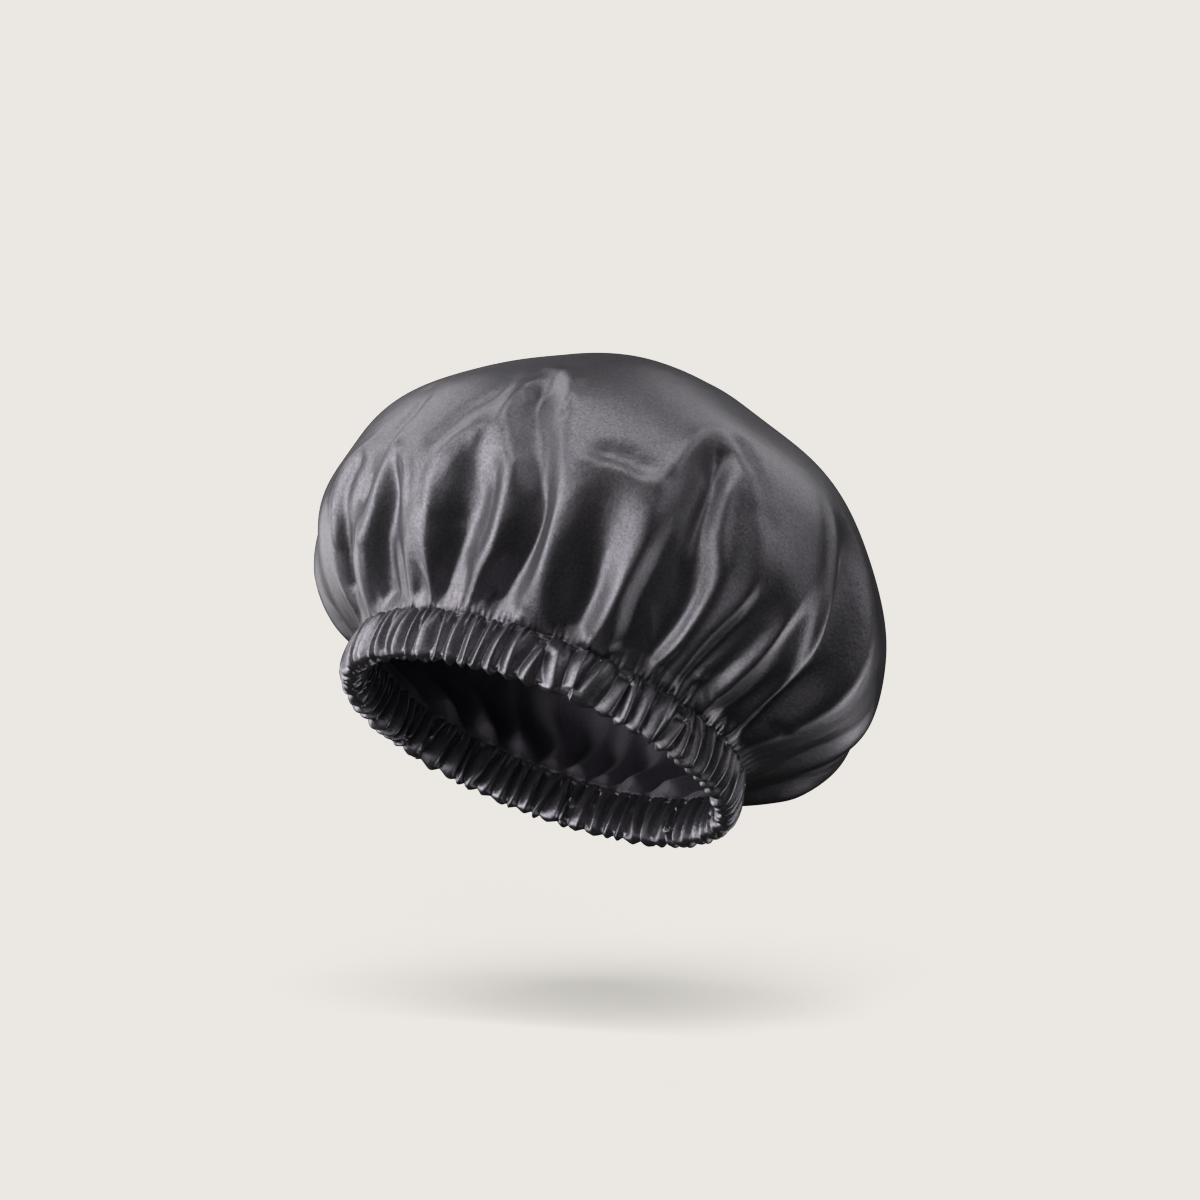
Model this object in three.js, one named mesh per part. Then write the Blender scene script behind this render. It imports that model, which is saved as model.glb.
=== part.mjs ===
// Hair bonnet: a gathered satin crown and its lining, sewn into a ruffled band that holds an
// elastic. Millimetres, +Z up through the crown, +X along the long side of the opening.
// The bonnet stands on the band's foot, and the origin lies under its middle.
import * as THREE from 'three';

// Opening, measured to the middle of the band's wall
const openingHalfLength = 88;
const openingHalfWidth = 76;

// Elastic strip and the lap where its two ends are sewn together
const elasticWidth = 15;
const elasticThickness = 1.2;
const elasticLap = 20;
const elasticEase = 14;
const elasticSteps = 66;
const lapAngle = 52;

// Sewing thread
const threadDiameter = 0.3;
const threadSides = 4;
const threadArcs = 3;

// Room left between pieces
const plyGap = 0.3;
const clothGap = 0.35;
const threadGap = 0.3;
const elasticRoom = 0.5;

// Band: one strip folded round the elastic, gathered into ribs
const bandCloth = 0.45;
const bandFloor = 1.7;
const bandSeamHeight = 4.3;
const bandBellyHeight = 13;
const bandFootSpread = 0.35;
const ribTrios = 26;
const ribDepth = 1.4;
const ribFootShare = 0.8;
const ribMouthShare = 0.4;

// Crown and lining
const crownCloth = 0.5;
const liningCloth = 0.5;
const crownHalfLength = 134;
const crownHalfWidth = 122.5;
const crownStand = 1.5;
const crownUnderHeight = 45;
const crownDomeHeight = 122;
const underRoundness = 1.915;
const domeRoundness = 1.036;

// Folds of the crown, anticlockwise from above. Angles are in degrees, at the band and where
// the fold dies out. The shares are of the fold depth and of the climb from band to top.
const foldDepth = 9;
const foldShoulderShare = 0.45;
const foldRiseShare = 0.2;
const foldLeanShare = 0.45;
const foldFadeShare = 0.6;
const folds = [
  { atBand: 16, above: 2, depthShare: 0.8, reachShare: 0.62 },
  { atBand: 34, above: 27, depthShare: 1, reachShare: 0.66 },
  { atBand: 53, above: 51, depthShare: 0.7, reachShare: 0.55 },
  { atBand: 72, above: 76, depthShare: 1, reachShare: 0.68 },
  { atBand: 90, above: 100, depthShare: 0.8, reachShare: 0.56 },
  { atBand: 109, above: 125, depthShare: 1, reachShare: 0.66 },
  { atBand: 128, above: 149, depthShare: 0.8, reachShare: 0.58 },
  { atBand: 146, above: 174, depthShare: 1, reachShare: 0.64 },
  { atBand: 165, above: 198, depthShare: 0.6, reachShare: 0.5 },
  { atBand: 178, above: 212, depthShare: 0.7, reachShare: 0.6 },
  { atBand: 206, above: 221, depthShare: 0.8, reachShare: 0.54 },
  { atBand: 228, above: 241, depthShare: 0.85, reachShare: 0.6 },
  { atBand: 246, above: 253, depthShare: 0.9, reachShare: 0.68 },
  { atBand: 266, above: 267, depthShare: 0.7, reachShare: 0.56 },
  { atBand: 286, above: 286, depthShare: 1, reachShare: 0.68 },
  { atBand: 302, above: 300, depthShare: 0.7, reachShare: 0.54 },
  { atBand: 317, above: 310, depthShare: 0.6, reachShare: 0.45 },
  { atBand: 331, above: 326, depthShare: 1, reachShare: 0.67 },
  { atBand: 350, above: 338, depthShare: 0.6, reachShare: 0.56 },
];

// Crown rings as shares of the climb: fine ones carry the folds, coarse ones the smooth top
const fineRingShares = [0, 0.22, 0.36, 0.5, 0.6];
const coarseRingShares = [0.69, 0.78, 0.87, 0.95];

// Stitches: zigzags across the elastic's lap, and where the band's own ends are joined
const lapStitchTurns = 4;
const lapStitchMargin = 2;
const lapStitchSteps = 48;
const joinStitchSteps = 12;
const joinStitchMargin = 2.5;
const seamStitchDrop = 2;

// Heights worked out from the sizes above
const elasticBottom = bandFloor + elasticRoom;
const elasticTop = elasticBottom + elasticWidth;
const shoulderHeight = elasticTop + elasticRoom;
const bandHeight = shoulderHeight + bandSeamHeight;
const crownEdgeHeight = shoulderHeight + clothGap;
const flareHeight = bandHeight + crownStand;
const widestHeight = flareHeight + crownUnderHeight;

// Three ribs to each two steps of the smooth channel behind them
const ribCount = 3 * ribTrios;
const channelSteps = 2 * ribTrios;

// Distances from the middle of the band's wall, worked out from what lies inside it
const lapHalf = plyGap / 2 + elasticThickness;
const channelHalf = lapHalf + threadGap + threadDiameter + threadGap;
const mouthHalf = clothGap / 2 + Math.max(crownCloth, liningCloth) + clothGap;
const mouthValley = mouthHalf + bandCloth;
const shoulderValley = channelHalf + bandCloth;
const wallSlope = (shoulderValley - mouthValley) / (bandHeight - shoulderHeight);
const bellyValley = mouthValley + wallSlope * (bandHeight - bandBellyHeight);
const footValley = shoulderValley + bandFootSpread;

const radians = THREE.MathUtils.degToRad;
const fullTurn = 2 * Math.PI;

// A point beside an oval: a distance out from it, square to it, at a height
function besideOval(halfLength, halfWidth, angle, outward, height) {
  const x = Math.cos(angle);
  const y = Math.sin(angle);
  const square = new THREE.Vector2(x / halfLength, y / halfWidth).normalize();
  return new THREE.Vector3(halfLength * x + square.x * outward, halfWidth * y + square.y * outward, height);
}

function besideBand(angle, outward, height) {
  return besideOval(openingHalfLength, openingHalfWidth, angle, outward, height);
}

// Triangles between two rings. One ring may have several points for each point of the other.
// The faces look out when the second ring lies above the first, or in when turned.
function strip(first, second, turned = false) {
  const secondIsFine = second.length > first.length;
  const coarse = secondIsFine ? first : second;
  const fine = secondIsFine ? second : first;
  const each = fine.length / coarse.length;
  const half = Math.ceil(each / 2);
  const backward = secondIsFine !== turned;
  const triangles = [];
  const add = (a, b, c) => triangles.push(...(backward ? [a, c, b] : [a, b, c]));
  for (let j = 0; j < coarse.length; j += 1) {
    const here = coarse[j];
    const next = coarse[(j + 1) % coarse.length];
    const finePoint = (i) => fine[(j * each + i) % fine.length];
    for (let i = 0; i < half; i += 1) {
      add(finePoint(i), finePoint(i + 1), here);
    }
    add(here, finePoint(half), next);
    for (let i = half; i < each; i += 1) {
      add(finePoint(i), finePoint(i + 1), next);
    }
  }
  return triangles;
}

// Triangles from a ring to one point above it
function tip(ring, point, turned = false) {
  const triangles = [];
  ring.forEach((here, i) => {
    const next = ring[(i + 1) % ring.length];
    triangles.push(...(turned ? [next, here, point] : [here, next, point]));
  });
  return triangles;
}

// Rings joined one after another, the last back to the first
function closedSweep(rings) {
  return rings.flatMap((ring, i) => strip(ring, rings[(i + 1) % rings.length]));
}

function pieceOf(name, geometry, material) {
  const mesh = new THREE.Mesh(geometry, material);
  mesh.name = name;
  return mesh;
}

function facesToGeometry(points) {
  const geometry = new THREE.BufferGeometry().setFromPoints(points);
  geometry.computeVertexNormals();
  return geometry;
}

// Band outline: the wall's distance at a height, in a valley between ribs and on a rib.
// It is the same on the outer leaf and, mirrored, on the inner leaf.
function wallValleyAt(height) {
  if (height < bandBellyHeight) {
    return THREE.MathUtils.mapLinear(height, 0, bandBellyHeight, footValley, bellyValley);
  }
  return bellyValley - wallSlope * (height - bandBellyHeight);
}

function ribRiseAt(height) {
  if (height < bandBellyHeight) {
    return ribDepth * THREE.MathUtils.mapLinear(height, 0, bandBellyHeight, ribFootShare, 1);
  }
  return ribDepth * THREE.MathUtils.mapLinear(height, bandBellyHeight, bandHeight, 1, ribMouthShare);
}

function ribWallAt(height, onRib) {
  return wallValleyAt(height) + (onRib ? ribRiseAt(height) : 0);
}

// A ring of the ribbed skin: ribs and valleys alternate; side is 1 outside and -1 inside
function ribbedRing(side, height, extra = 0) {
  const count = 2 * ribCount;
  return Array.from({ length: count }, (_, i) => {
    const wall = ribWallAt(height, i % 2 === 0) + extra;
    return besideBand((fullTurn * i) / count, side * wall, height);
  });
}

function smoothRing(outward, height) {
  return Array.from({ length: channelSteps }, (_, i) => {
    return besideBand((fullTurn * i) / channelSteps, outward, height);
  });
}

// The casing: a strip folded in half, open at the top where the crown's edge is sewn in
function bandCasing() {
  const rings = [
    ribbedRing(1, 0),
    ribbedRing(1, bandBellyHeight),
    ribbedRing(1, bandHeight),
    smoothRing(mouthHalf, bandHeight),
    smoothRing(channelHalf, shoulderHeight),
    smoothRing(channelHalf, bandFloor),
    smoothRing(-channelHalf, bandFloor),
    smoothRing(-channelHalf, shoulderHeight),
    smoothRing(-mouthHalf, bandHeight),
    ribbedRing(-1, bandHeight),
    ribbedRing(-1, bandBellyHeight),
    ribbedRing(-1, 0),
  ];
  return facesToGeometry(closedSweep(rings));
}

// Angle that a length takes along the band near the elastic's lap
function angleOfLength(length) {
  const here = besideBand(radians(lapAngle), 0, 0);
  const speed = besideBand(radians(lapAngle + 1), 0, 0).distanceTo(here);
  return radians(length / speed);
}

// The elastic: one flat strip, once round the band, its ends lapped face to face
function elasticBand() {
  const lap = angleOfLength(elasticLap);
  const ease = angleOfLength(elasticEase);
  const start = radians(lapAngle);
  const span = fullTurn + lap;
  const plyShift = (plyGap + elasticThickness) / 2;
  const sections = Array.from({ length: elasticSteps + 1 }, (_, i) => {
    const along = (span * i) / elasticSteps;
    const inner = 1 - THREE.MathUtils.smoothstep(along, lap, lap + ease);
    const outer = THREE.MathUtils.smoothstep(along, fullTurn - ease, fullTurn);
    const middle = plyShift * (outer - inner);
    const near = middle - elasticThickness / 2;
    const far = middle + elasticThickness / 2;
    return [
      besideBand(start + along, far, elasticBottom),
      besideBand(start + along, far, elasticTop),
      besideBand(start + along, near, elasticTop),
      besideBand(start + along, near, elasticBottom),
    ];
  });
  const points = [];
  for (let i = 0; i < elasticSteps; i += 1) {
    points.push(...strip(sections[i], sections[i + 1], true));
  }
  const [a, b, c, d] = sections[0];
  points.push(a, b, c, a, c, d);
  const [e, f, g, h] = sections[elasticSteps];
  points.push(e, g, f, e, h, g);
  return facesToGeometry(points);
}

// A stitch row round the band's mouth, lying on the ribs of one leaf
function seamThread(side) {
  const height = bandHeight - seamStitchDrop;
  const radius = threadDiameter / 2;
  const lift = threadGap + radius;
  const corners = Array.from({ length: threadSides }, (_, k) => {
    const turn = (fullTurn * k) / threadSides;
    return { out: radius * Math.cos(turn), up: side * radius * Math.sin(turn) };
  });
  const rings = corners.map(({ out, up }) => {
    const ring = ribbedRing(side, height, lift + out);
    ring.forEach((point) => point.setZ(height + up));
    return ring;
  });
  return facesToGeometry(closedSweep(rings));
}

// A round thread along a path of points
function threadAlong(points, steps) {
  const section = new THREE.Shape();
  section.absarc(0, 0, threadDiameter / 2, 0, fullTurn, false);
  return new THREE.ExtrudeGeometry(section, {
    extrudePath: new THREE.CatmullRomCurve3(points),
    curveSegments: threadArcs,
    steps,
    bevelEnabled: false,
  });
}

// Zigzag sewn across the lap of the elastic, on its outer face
function elasticLapStitch() {
  const out = lapHalf + threadGap + threadDiameter / 2;
  const low = elasticBottom + lapStitchMargin;
  const high = elasticTop - lapStitchMargin;
  const start = radians(lapAngle) + angleOfLength(lapStitchMargin);
  const span = angleOfLength(elasticLap - 2 * lapStitchMargin);
  const count = 2 * lapStitchTurns;
  const points = Array.from({ length: count + 1 }, (_, i) => {
    return besideBand(start + (span * i) / count, out, i % 2 === 0 ? low : high);
  });
  return threadAlong(points, lapStitchSteps);
}

// Short seam that joins the two ends of the casing strip, in a valley of the inner leaf
function casingJoinStitch() {
  const valley = 2 * Math.round((lapAngle / 360) * ribCount) + 1;
  const angle = (fullTurn * valley) / (2 * ribCount);
  const low = joinStitchMargin;
  const high = bandHeight - seamStitchDrop - joinStitchMargin;
  const points = [low, (low + bandBellyHeight) / 2, bandBellyHeight, high].map((height) => {
    const out = ribWallAt(height, false) + threadGap + threadDiameter / 2;
    return besideBand(angle, -out, height);
  });
  return threadAlong(points, joinStitchSteps);
}

// Crown without folds. A climb of -1 is the raw edge inside the band, 0 is the band's mouth,
// 0.5 is the widest place and 1 is the top.
function smoothCrown(angle, climb) {
  if (climb <= 0) {
    return besideBand(angle, 0, flareHeight + (flareHeight - crownEdgeHeight) * climb);
  }
  const bend = Math.PI * climb;
  if (climb <= 0.5) {
    const spread = Math.sin(bend) ** underRoundness;
    const halfLength = THREE.MathUtils.lerp(openingHalfLength, crownHalfLength, spread);
    const halfWidth = THREE.MathUtils.lerp(openingHalfWidth, crownHalfWidth, spread);
    const height = widestHeight - crownUnderHeight * Math.cos(bend);
    return besideOval(halfLength, halfWidth, angle, 0, height);
  }
  const tilt = Math.min(bend - Math.PI / 2, Math.PI / 2);
  const share = Math.max(Math.cos(tilt), 0) ** domeRoundness;
  const height = widestHeight + crownDomeHeight * Math.sin(tilt);
  return new THREE.Vector3(
    crownHalfLength * share * Math.cos(angle),
    crownHalfWidth * share * Math.sin(angle),
    height,
  );
}

function crownNormal(angle, climb) {
  const shareStep = 0.004;
  const before = Math.max(climb - shareStep, -1);
  const around = smoothCrown(angle + shareStep, climb).sub(smoothCrown(angle - shareStep, climb));
  const upward = smoothCrown(angle, climb + shareStep).sub(smoothCrown(angle, before));
  return around.cross(upward).normalize();
}

// How deep a fold is at a climb: it opens above the band and dies out at its reach
function foldDepthAt(fold, climb) {
  const opening = THREE.MathUtils.smoothstep(climb, 0, foldRiseShare);
  const fadeStart = foldFadeShare * fold.reachShare;
  const fading = 1 - THREE.MathUtils.smoothstep(climb, fadeStart, fold.reachShare);
  return foldDepth * fold.depthShare * opening * fading;
}

function foldAngleAt(fold, climb) {
  const lean = THREE.MathUtils.smoothstep(climb, 0, foldLeanShare);
  return THREE.MathUtils.lerp(fold.atBand, fold.above, lean);
}

// Four columns for each fold: its valley, a shoulder, the ridge after it, the next shoulder
function crownColumns(climb) {
  const next = (i) => {
    const fold = folds[(i + 1) % folds.length];
    const wrap = i + 1 === folds.length ? 360 : 0;
    return { angle: foldAngleAt(fold, climb) + wrap, depth: foldDepthAt(fold, climb) };
  };
  return folds.flatMap((fold, i) => {
    const valley = { angle: foldAngleAt(fold, climb), depth: foldDepthAt(fold, climb) };
    const ridge = (valley.angle + next(i).angle) / 2;
    return [
      valley,
      { angle: (valley.angle + ridge) / 2, depth: foldShoulderShare * valley.depth },
      { angle: ridge, depth: 0 },
      { angle: (ridge + next(i).angle) / 2, depth: foldShoulderShare * next(i).depth },
    ];
  });
}

// A ring of the folded crown, shifted out along its normal; every takes each nth column
function crownRing(climb, shift, every = 1) {
  const columns = crownColumns(climb).filter((_, i) => i % every === 0);
  return columns.map((column) => {
    const angle = radians(column.angle);
    const normal = crownNormal(angle, climb);
    return smoothCrown(angle, climb).addScaledVector(normal, shift - column.depth);
  });
}

// One face of the crown or lining, from its raw edge to its top
function crownFace(shift, turned) {
  const rings = [
    crownRing(-1, shift),
    ...fineRingShares.map((climb) => crownRing(climb, shift)),
    ...coarseRingShares.map((climb) => crownRing(climb, shift, 2)),
  ];
  const top = smoothCrown(0, 1).setX(0);
  top.z += shift;
  const walls = rings.slice(1).flatMap((ring, i) => strip(rings[i], ring, turned));
  return [...walls, ...tip(rings[rings.length - 1], top, turned)];
}

// A gathered disc of cloth with its outer face at one shift and its inner face at another
function gatheredDisc(outerShift, innerShift) {
  const edge = strip(crownRing(-1, innerShift), crownRing(-1, outerShift));
  return facesToGeometry([...crownFace(outerShift, false), ...crownFace(innerShift, true), ...edge]);
}

function outerCrown() {
  return gatheredDisc(clothGap / 2 + crownCloth, clothGap / 2);
}

function crownLining() {
  return gatheredDisc(-clothGap / 2, -clothGap / 2 - liningCloth);
}

const satin = { color: 0x4c484c, roughness: 0.38, metalness: 0 };
const crownSatin = new THREE.MeshStandardMaterial(satin);
const liningSatin = new THREE.MeshStandardMaterial({ ...satin, color: 0x443f43 });
const bandSatin = new THREE.MeshStandardMaterial({ ...satin, color: 0x484448 });
const knittedElastic = new THREE.MeshStandardMaterial({ color: 0x2a282a, roughness: 0.9, metalness: 0 });
const polyesterThread = new THREE.MeshStandardMaterial({ color: 0x242225, roughness: 0.7, metalness: 0 });

const bonnet = new THREE.Group();
bonnet.add(
  pieceOf('outer_crown', outerCrown(), crownSatin),
  pieceOf('crown_lining', crownLining(), liningSatin),
  pieceOf('band_casing', bandCasing(), bandSatin),
  pieceOf('elastic_band', elasticBand(), knittedElastic),
  pieceOf('seam_needle_thread', seamThread(1), polyesterThread),
  pieceOf('seam_bobbin_thread', seamThread(-1), polyesterThread),
  pieceOf('elastic_lap_stitch', elasticLapStitch(), polyesterThread),
  pieceOf('casing_join_stitch', casingJoinStitch(), polyesterThread),
);

// The folds make the crown's outline uneven, so the bonnet is moved until its box is centred
const middle = new THREE.Box3().setFromObject(bonnet).getCenter(new THREE.Vector3());
bonnet.position.set(-middle.x, -middle.y, 0);

export default bonnet;
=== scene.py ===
"""Hair bonnet: a gathered satin crown with a satin lining, on a ruffled band with an elastic inside.

Metres, +Z up through the crown, +X along the long side of the opening. -Y is the side seen first.
"""

import math

import bpy
import numpy as np
from mathutils import Matrix, Vector


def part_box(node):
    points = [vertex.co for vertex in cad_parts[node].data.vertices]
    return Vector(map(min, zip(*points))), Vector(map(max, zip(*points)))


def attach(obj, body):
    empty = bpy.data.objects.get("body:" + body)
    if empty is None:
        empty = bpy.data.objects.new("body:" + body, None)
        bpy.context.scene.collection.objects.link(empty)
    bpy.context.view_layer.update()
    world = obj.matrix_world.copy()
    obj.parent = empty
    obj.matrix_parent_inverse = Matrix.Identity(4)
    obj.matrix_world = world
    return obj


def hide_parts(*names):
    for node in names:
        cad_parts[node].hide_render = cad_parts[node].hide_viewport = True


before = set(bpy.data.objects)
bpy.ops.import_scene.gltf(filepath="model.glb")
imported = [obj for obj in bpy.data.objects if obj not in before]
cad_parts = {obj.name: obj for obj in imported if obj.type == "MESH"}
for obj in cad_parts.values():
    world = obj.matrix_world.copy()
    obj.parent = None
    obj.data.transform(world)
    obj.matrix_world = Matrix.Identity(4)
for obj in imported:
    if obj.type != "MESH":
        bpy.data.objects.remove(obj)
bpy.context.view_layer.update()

bl_info = {
    "name": "Satin hair bonnet",
    "version": (1, 0, 0),
    "blender": (4, 5, 0),
    "location": "View3D > Sidebar > Bonnet",
    "description": "Builds a gathered satin bonnet with its lining, ruffled band and stitches",
    "category": "Add Mesh",
}

MM = 0.001


# Sizes taken from the frame

BAND_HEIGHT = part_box("band_casing")[1].z
CROWN_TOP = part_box("outer_crown")[1].z
ELASTIC_LOW, ELASTIC_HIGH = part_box("elastic_band")
# From the elastic's outer face to the middle of the band's wall
ELASTIC_INSET = 0.55 * MM


def metres(name, description, default):
    """A property for a length."""
    return bpy.props.FloatProperty(name=name, description=description, default=default, unit="LENGTH")


def hex_colour(name, description, default):
    """A property for a colour, as an sRGB hex value."""
    return bpy.props.StringProperty(name=name, description=description, default=default)


class BonnetSizes(bpy.types.PropertyGroup):
    """Sizes of the opening, the band and the crown"""

    opening_half_length: metres(
        "Opening half length",
        "Half the long side of the opening, to the middle of the band's wall",
        (ELASTIC_HIGH.x - ELASTIC_LOW.x) / 2 - ELASTIC_INSET,
    )
    opening_half_width: metres(
        "Opening half width",
        "Half the short side of the opening, to the middle of the band's wall",
        (ELASTIC_HIGH.y - ELASTIC_LOW.y) / 2 - ELASTIC_INSET,
    )
    crown_half_length: metres(
        "Crown half length",
        "Half the crown's length at its widest, on the ridges of its folds",
        134 * MM,
    )
    crown_half_width: metres(
        "Crown half width",
        "Half the crown's width at its widest, on the ridges of its folds",
        122.5 * MM,
    )
    widest_height: metres(
        "Widest height", "Height of the crown's widest place above the foot of the band", 68.5 * MM
    )
    disc_radius: metres("Disc radius", "Radius that the crown and the lining were cut to", 256.5 * MM)
    layer_gap: metres("Layer gap", "Distance between the crown and the lining", 0.9 * MM)
    fold_share: bpy.props.FloatProperty(
        name="Fold share",
        description="How deep the folds are, as a share of their drawn depth",
        default=0.8,
        min=0,
        max=1,
    )
    strip_width: metres(
        "Band strip width",
        "Width that the band's strip was cut to, before it was folded in half",
        52 * MM,
    )
    strip_length: metres(
        "Band strip length",
        "Length that the band's strip was cut to, before it was gathered",
        900 * MM,
    )
    pleat_count: bpy.props.IntProperty(
        name="Pleats", description="Small pleats round the band", default=78, min=12
    )


class BonnetColours(bpy.types.PropertyGroup):
    """Colours as sRGB hex values"""

    satin: hex_colour("Satin", "Charcoal satin", "6B696E")
    band: hex_colour("Band", "Satin of the band, a little lighter", "77757B")
    lining: hex_colour("Lining", "Lining satin", "75727A")
    thread: hex_colour("Thread", "Sewing thread", "2A282B")
    elastic: hex_colour("Elastic", "Knitted elastic", "2C2A2C")
    floor: hex_colour("Floor", "Pale floor", "EBE8E3")


def sizes():
    return bpy.context.scene.bonnet_sizes


def colours():
    return bpy.context.scene.bonnet_colours


def linear(code):
    """An sRGB hex value as linear red, green, blue and 1."""
    parts = [int(code[i : i + 2], 16) / 255 for i in (0, 2, 4)]
    return [c / 12.92 if c <= 0.04045 else ((c + 0.055) / 1.055) ** 2.4 for c in parts] + [1]


# Smooth curves through given points


def smooth_step(x, low, high):
    """0 up to low and 1 from high on, with an even ease between them."""
    t = np.clip((x - low) / (high - low), 0, 1)
    return t * t * (3 - 2 * t)


def along(places, values, at):
    """Values at some places, eased between the given ones so that no kink shows."""
    places = np.asarray(places, float)
    values = np.asarray(values, float)
    slope = np.gradient(values, places)
    i = np.clip(np.searchsorted(places, at) - 1, 0, len(places) - 2)
    width = places[i + 1] - places[i]
    t = np.clip((at - places[i]) / width, 0, 1)
    return (
        (2 * t**3 - 3 * t**2 + 1) * values[i]
        + (t**3 - 2 * t**2 + t) * width * slope[i]
        + (-2 * t**3 + 3 * t**2) * values[i + 1]
        + (t**3 - t**2) * width * slope[i + 1]
    )


# Crown without folds

# How far above the band the crown starts to flare, and how round it is under and over its widest
FLARE_RISE = 1.5 * MM
UNDER_ROUNDNESS = 1.915
OVER_ROUNDNESS = 1.036
# The section's points before and after they are set evenly, and the stretch it is averaged over
CLIMB_POINTS = 1601
EVEN_POINTS = 1001
SECTION_BLEND = 26 * MM


def profile(climb):
    """Half length, half width and height of the smooth crown; climb is 0 at the band, 1 on top."""
    s = sizes()
    under = s.widest_height - (BAND_HEIGHT + FLARE_RISE)
    dome = CROWN_TOP - s.widest_height
    bend = math.pi * climb
    spread = np.sin(np.minimum(bend, math.pi / 2)) ** UNDER_ROUNDNESS
    tilt = np.clip(bend - math.pi / 2, 0, math.pi / 2)
    share = np.clip(np.cos(tilt), 0, 1) ** OVER_ROUNDNESS
    low = climb <= 0.5
    half_length, half_width = (
        np.where(low, opening + (crown - opening) * spread, crown * share)
        for opening, crown in (
            (s.opening_half_length, s.crown_half_length),
            (s.opening_half_width, s.crown_half_width),
        )
    )
    height = np.where(
        low, s.widest_height - under * np.cos(bend), s.widest_height + dome * np.sin(tilt)
    )
    return half_length, half_width, height


def crown_section(arcs):
    """Half length, half width and height at distances along the cloth, and the whole distance.

    The section is averaged over a short stretch, so that its curve changes gently.
    """
    climbs = np.linspace(0, 1, CLIMB_POINTS)
    section = np.stack(profile(climbs))
    mean = (section[0] + section[1]) / 2
    length = np.append(0, np.cumsum(np.hypot(np.diff(mean), np.diff(section[2]))))
    even = np.linspace(0, length[-1], EVEN_POINTS)
    section = np.stack([np.interp(even, length, row) for row in section])
    reach = round(SECTION_BLEND / even[1])
    weights = np.bartlett(2 * reach + 3)[1:-1]
    weights /= weights.sum()
    start = 2 * section[:, :1] - section[:, reach:0:-1]
    mirror = np.array([[-1], [-1], [1]])
    end = mirror * section[:, -2 : -reach - 2 : -1]
    padded = np.hstack([start, section, end])
    blended = np.stack([np.convolve(row, weights, "valid") for row in padded])
    return [np.interp(arcs, even, row) for row in blended], length[-1]


# Folds of the crown. Each line runs up the cloth from the band: (distance from the band in mm,
# angle in degrees, height in mm), where low heights are valleys and the rest are ridges. The
# number before it says how straight the slopes meet there: 0 is round, 1 is a crease. A line that
# ends at height 0 stays at rest above that, and any other line melts into its neighbours.
# The near side follows what shows, and the far side what shows of it through the opening.

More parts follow.
